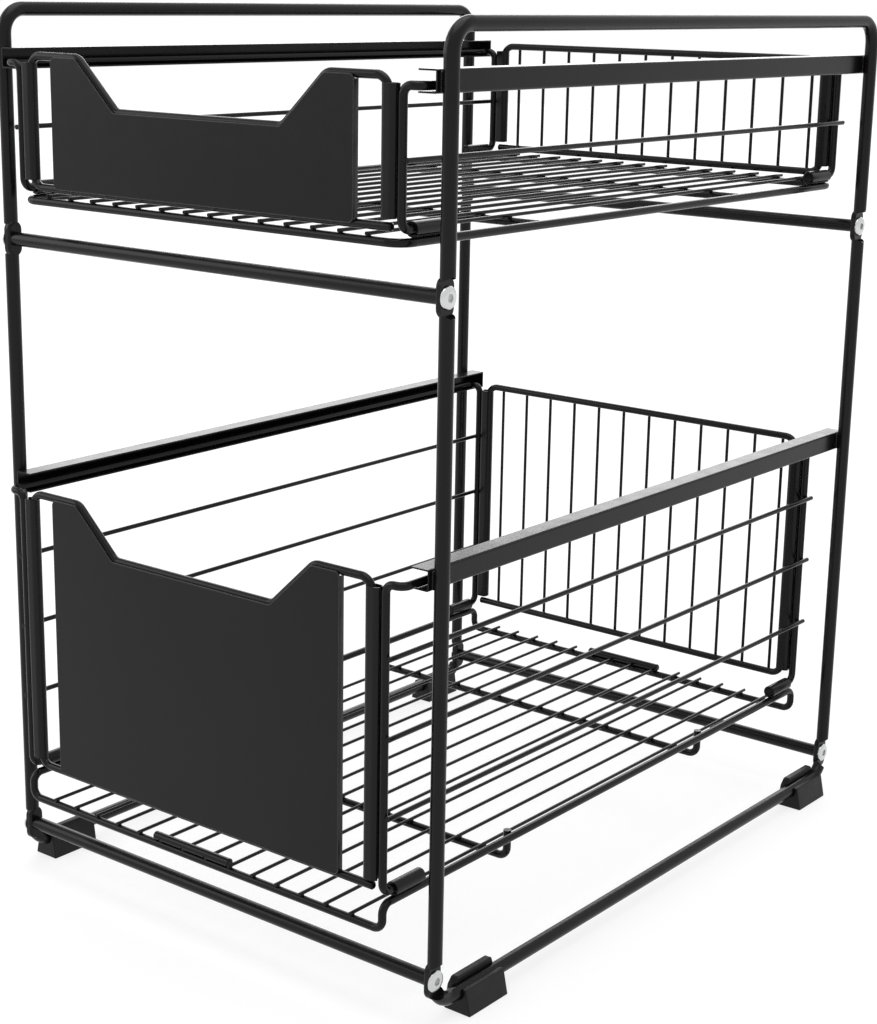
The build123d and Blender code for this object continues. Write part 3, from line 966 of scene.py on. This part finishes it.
# ---------------------------------------------------------------- a basket
@dataclass
class WireBasket:
    """One pull-out basket: its sheet parts, its wires and its weld marks."""

    parts: PointParts
    tier: Tier
    seed: int
    rod_radius: float = 2.0 * MM
    wire_radius: float = 0.9 * MM
    side_wire_radius: float = 1.25 * MM
    floor_wires: int = 14
    rear_wires: int = 12
    plate_edges: SoftEdges = field(default_factory=lambda: SoftEdges(0.28 * MM, 3, front_only=True))
    channel_edges: SoftEdges = field(default_factory=lambda: SoftEdges(0.2 * MM))
    nugget_size: Vector = field(default_factory=lambda: Vector((1.6, 1.05, 0.5)) * MM)
    nugget_uneven: float = 0.15
    nugget_spin: float = 0.12
    plate_weld_step: float = 24.0 * MM
    wire_parting: float = 2.5

    @property
    def body(self) -> str:
        """The CAD body that the basket is."""
        return f"{self.tier.value}_basket"

    def node(self, name: str) -> str:
        """Returns the full name of one of the basket's nodes."""
        return f"{self.tier.value}_{name}"

    def build(self) -> None:
        """Builds and dresses the basket."""
        self.build_sheet_parts()
        self.build_weld_marks()
        rods = ["grid_rim", "grid_cross_rods", "side_left", "side_right", "front_frame", "rear_frame"]
        wires = ["grid_wires", "side_wires", "rear_wires"]
        if self.tier is Tier.LOWER:
            rods.append("grid_bars")
        dress_nodes([self.node(name) for name in rods + wires], ROD_COAT)

    def build_sheet_parts(self) -> None:
        """Rounds the edges of the front plate, the end channels and the clips."""
        plate = self.plate_edges.copy_of(self.node("front_plate"), self.node("front_plate_pressed"))
        finish_piece(plate, PLATE_COAT, self.body)
        for end in ENDS:
            for side in SIDES:
                node = self.node(f"{end}_channel_{side}")
                piece = self.channel_edges.copy_of(node, f"{node}_rolled")
                finish_piece(piece, POWDER_COAT, self.body)
        clips = self.channel_edges.copy_of(self.node("clips"), self.node("clips_rolled"))
        finish_piece(clips, POWDER_COAT, self.body)

    def wire_places(self, node: str, count: int) -> list[float]:
        """Returns where a row of evenly spaced wires lies along X.

        Args:
            node: The wires' node.
            count: How many wires it has.

        Returns:
            The X of each wire's centre line.
        """
        low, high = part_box(node)
        first = low.x + self.wire_radius
        step = (high.x - low.x - 2.0 * self.wire_radius) / (count - 1)
        return [first + i * step for i in range(count)]

    def floor_crossings(self, points: PointSet) -> None:
        """Adds the crossings of the floor wires with the rim and the cross rods."""
        rim_low, rim_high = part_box(self.node("grid_rim"))
        rod_low, rod_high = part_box(self.node("grid_cross_rods"))
        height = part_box(self.node("grid_wires"))[0].z
        r = self.rod_radius
        rows = (rim_low.y + r, rod_low.y + r, rod_high.y - r, rim_high.y - r)
        for x in self.wire_places(self.node("grid_wires"), self.floor_wires):
            for y in rows:
                points.add((x, y, height), Axis.Z.value, Axis.Y.value)

    def rear_crossings(self, points: PointSet) -> None:
        """Adds the crossings of the upright rear wires with the back frame."""
        low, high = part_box(self.node("rear_frame"))
        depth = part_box(self.node("rear_wires"))[0].y
        for x in self.wire_places(self.node("rear_wires"), self.rear_wires):
            for z in (low.z + self.rod_radius, high.z - self.rod_radius):
                points.add((x, depth, z), Axis.Y.value, Axis.Z.value)

    def side_crossings(self, points: PointSet, heights: Sequence[float]) -> None:
        """Adds the crossings of the side wires with the uprights of the side rods.

        Args:
            points: The points that are added to.
            heights: The side wires' heights.
        """
        low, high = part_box(self.node("side_wires"))
        rod_low, rod_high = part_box(self.node("side_left"))
        r = self.rod_radius
        for z in heights:
            for y in (rod_low.y + r, rod_high.y - r):
                for x in (low.x + 2.0 * self.side_wire_radius, high.x - 2.0 * self.side_wire_radius):
                    points.add((x, y, z), Axis.X.value, Axis.Y.value)

    def side_wire_heights(self) -> list[float]:
        """Returns the heights of the side wires, read from their node's vertices.

        A vertex more than wire_parting radii above the last wire's underside begins the next wire.
        """
        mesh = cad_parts[self.node("side_wires")].data
        heights: list[float] = []
        for z in sorted(vertex.co.z for vertex in mesh.vertices):
            if not heights or z - heights[-1] > self.wire_parting * self.side_wire_radius:
                heights.append(z)
        return [z + self.side_wire_radius for z in heights]

    def plate_crossings(self, points: PointSet) -> None:
        """Adds the spot welds between the front plate and the bottom rod of the frame behind it."""
        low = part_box(self.node("front_frame"))[0]
        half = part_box(self.node("front_plate"))[1].x
        count = int(2.0 * half / self.plate_weld_step)
        for i in range(count + 1):
            x = -half + self.plate_weld_step / 2.0 + i * (2.0 * half - self.plate_weld_step) / count
            points.add((x, low.y, low.z + self.rod_radius), Axis.Y.value, Axis.X.value)

    def build_weld_marks(self) -> None:
        """Sets a squashed nugget at every welded crossing."""
        points = PointSet()
        self.floor_crossings(points)
        self.rear_crossings(points)
        self.side_crossings(points, self.side_wire_heights())
        self.plate_crossings(points)
        piece = self.parts.set_out(
            self.node("weld_marks"),
            points,
            nugget_mesh(),
            self.nugget_size,
            self.nugget_uneven,
            self.nugget_spin,
            self.seed,
            WELD_COAT,
        )
        finish_piece(piece, WELD_COAT, self.body)


# ---------------------------------------------------------------- studio and camera
@dataclass(frozen=True)
class SoftBox:
    """A rectangular area lamp."""

    name: str
    place: tuple[float, float, float]
    aim: tuple[float, float, float]
    size: tuple[float, float]
    power: float

    def build(self) -> None:
        """Puts the lamp in the scene."""
        lamp = bpy.data.lights.new(self.name, "AREA")
        lamp.shape = "RECTANGLE"
        lamp.size, lamp.size_y = self.size
        lamp.energy = self.power
        holder = bpy.data.objects.new(self.name, lamp)
        direction = Vector(self.aim) - Vector(self.place)
        holder.rotation_euler = direction.to_track_quat("-Z", "Y").to_euler()
        holder.location = self.place
        bpy.context.scene.collection.objects.link(holder)


@dataclass
class PhotoCamera:
    """The camera at the photograph's place, turn and focal length."""

    place: tuple[float, float, float] = (0.65005, -0.835775, 0.46500)
    yaw: float = 0.6651
    pitch: float = -0.2579
    roll: float = 0.0183
    sensor: float = 36.0
    lens: float = 70.14
    clip_start: float = 0.01
    clip_end: float = 100.0

    def build(self) -> None:
        """Makes it the scene's camera."""
        data = bpy.data.cameras.new("photo_camera")
        data.sensor_fit = "VERTICAL"
        data.sensor_height = self.sensor
        data.lens = self.lens
        data.clip_start = self.clip_start
        data.clip_end = self.clip_end
        holder = bpy.data.objects.new("photo_camera", data)
        level = math.cos(self.pitch)
        ahead, aside = math.cos(self.yaw), math.sin(self.yaw)
        forward = Vector((-aside * level, ahead * level, math.sin(self.pitch)))
        right = Vector((ahead, aside, 0.0))
        over = right.cross(forward)
        x_axis = right * math.cos(self.roll) + over * math.sin(self.roll)
        y_axis = over * math.cos(self.roll) - right * math.sin(self.roll)
        turn = Matrix((x_axis, y_axis, -forward)).transposed()
        holder.matrix_world = Matrix.Translation(self.place) @ turn.to_4x4()
        bpy.context.scene.collection.objects.link(holder)
        bpy.context.scene.camera = holder


@dataclass
class Studio:
    """A pale floor, a white surround and plain soft light."""

    floor_size: float = 12.0
    floor_drop: float = 0.1 * MM
    floor_colour: tuple[float, float, float] = (0.9, 0.9, 0.9)
    floor_glow: float = 1.15
    floor_glow_share: float = 0.66
    floor_shadow_reach: tuple[float, float] = (0.2, 0.62)
    surround_colour: tuple[float, float, float] = (1.0, 1.0, 1.0)
    surround_level: float = 0.55
    lamps: tuple[SoftBox, ...] = (
        SoftBox("overhead", (0.1, -0.1, 1.9), (0.0, 0.0, 0.2), (1.6, 1.6), 15.0),
        SoftBox("back_top", (-0.9, 1.5, 1.0), (0.0, 0.0, 0.25), (1.8, 1.0), 14.0),
        SoftBox("left_fill", (-1.6, -1.2, 1.0), (0.0, 0.0, 0.25), (1.2, 1.2), 8.0),
    )

    def build(self) -> None:
        """Builds floor, surround, lamps and camera."""
        bpy.context.scene.view_settings.view_transform = "Standard"
        self.build_floor()
        self.build_surround()
        for lamp in self.lamps:
            lamp.build()
        PhotoCamera().build()

    def build_floor(self) -> None:
        """Lays the floor, which shows white further out and keeps the object's shadow near it."""
        half = self.floor_size / 2.0
        z = -self.floor_drop
        mesh = bpy.data.meshes.new("studio_floor")
        corners = [(-half, -half, z), (half, -half, z), (half, half, z), (-half, half, z)]
        mesh.from_pydata(corners, [], [(0, 1, 2, 3)])
        floor = link_object("studio_floor", mesh)
        material = bpy.data.materials.new("pale_floor")
        material.use_nodes = True
        board = NodeBoard(material.node_tree)
        board.tree.nodes.clear()
        output = board.add("ShaderNodeOutputMaterial")
        matt = board.add("ShaderNodeBsdfDiffuse", {"Color": (*self.floor_colour, 1.0)})
        glow = board.add("ShaderNodeEmission", {"Strength": self.floor_glow})
        seen = self._seen_ray(board)
        far = board.add("ShaderNodeVectorMath", operation="LENGTH")
        board.link(board.add("ShaderNodeTexCoord").outputs["Object"], far.inputs[0])
        near, away = self.floor_shadow_reach
        spread = board.add(
            "ShaderNodeMapRange",
            {"From Min": near, "From Max": away, "To Min": self.floor_glow_share},
            interpolation_type="SMOOTHSTEP",
        )
        board.link(far.outputs["Value"], spread.inputs["Value"])
        share = board.add("ShaderNodeMath", operation="MULTIPLY")
        board.link(seen, share.inputs[0])
        board.link(spread.outputs["Result"], share.inputs[1])
        mix = board.add("ShaderNodeMixShader")
        board.link(share.outputs["Value"], mix.inputs["Fac"])
        board.link(matt.outputs["BSDF"], mix.inputs[1])
        board.link(glow.outputs["Emission"], mix.inputs[2])
        board.link(mix.outputs["Shader"], output.inputs["Surface"])
        mesh.materials.append(material)

    def build_surround(self) -> None:
        """Makes the world white to the eye and in reflections, and softer as a light."""
        world = bpy.data.worlds.new("white_surround")
        bpy.context.scene.world = world
        world.use_nodes = True
        board = NodeBoard(world.node_tree)
        board.tree.nodes.clear()
        output = board.add("ShaderNodeOutputWorld")
        colour = (*self.surround_colour, 1.0)
        light = board.add("ShaderNodeBackground", {"Color": colour, "Strength": self.surround_level})
        white = board.add("ShaderNodeBackground", {"Color": colour})
        mix = board.add("ShaderNodeMixShader")
        board.link(self._seen_ray(board), mix.inputs["Fac"])
        board.link(light.outputs["Background"], mix.inputs[1])
        board.link(white.outputs["Background"], mix.inputs[2])
        board.link(mix.outputs["Shader"], output.inputs["Surface"])

    def _seen_ray(self, board: NodeBoard) -> bpy.types.NodeSocket:
        """Returns an output that is one for camera, glossy and transmission rays."""
        ray = board.add("ShaderNodeLightPath")
        seen = ray.outputs["Is Camera Ray"]
        for kind in ("Is Glossy Ray", "Is Transmission Ray"):
            either = board.add("ShaderNodeMath", operation="MAXIMUM")
            board.link(seen, either.inputs[0])
            board.link(ray.outputs[kind], either.inputs[1])
            seen = either.outputs["Value"]
        return seen


def main() -> None:
    """Builds every sub-assembly in order."""
    logging.basicConfig(level=logging.INFO, format="%(name)s: %(message)s")
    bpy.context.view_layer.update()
    parts = PointParts()
    CarryingFrame(parts).build()
    for seed, tier in enumerate(Tier, start=FIRST_BASKET_SEED):
        WireBasket(parts, tier, seed).build()
    Studio().build()


if __name__ == "__main__":
    main()
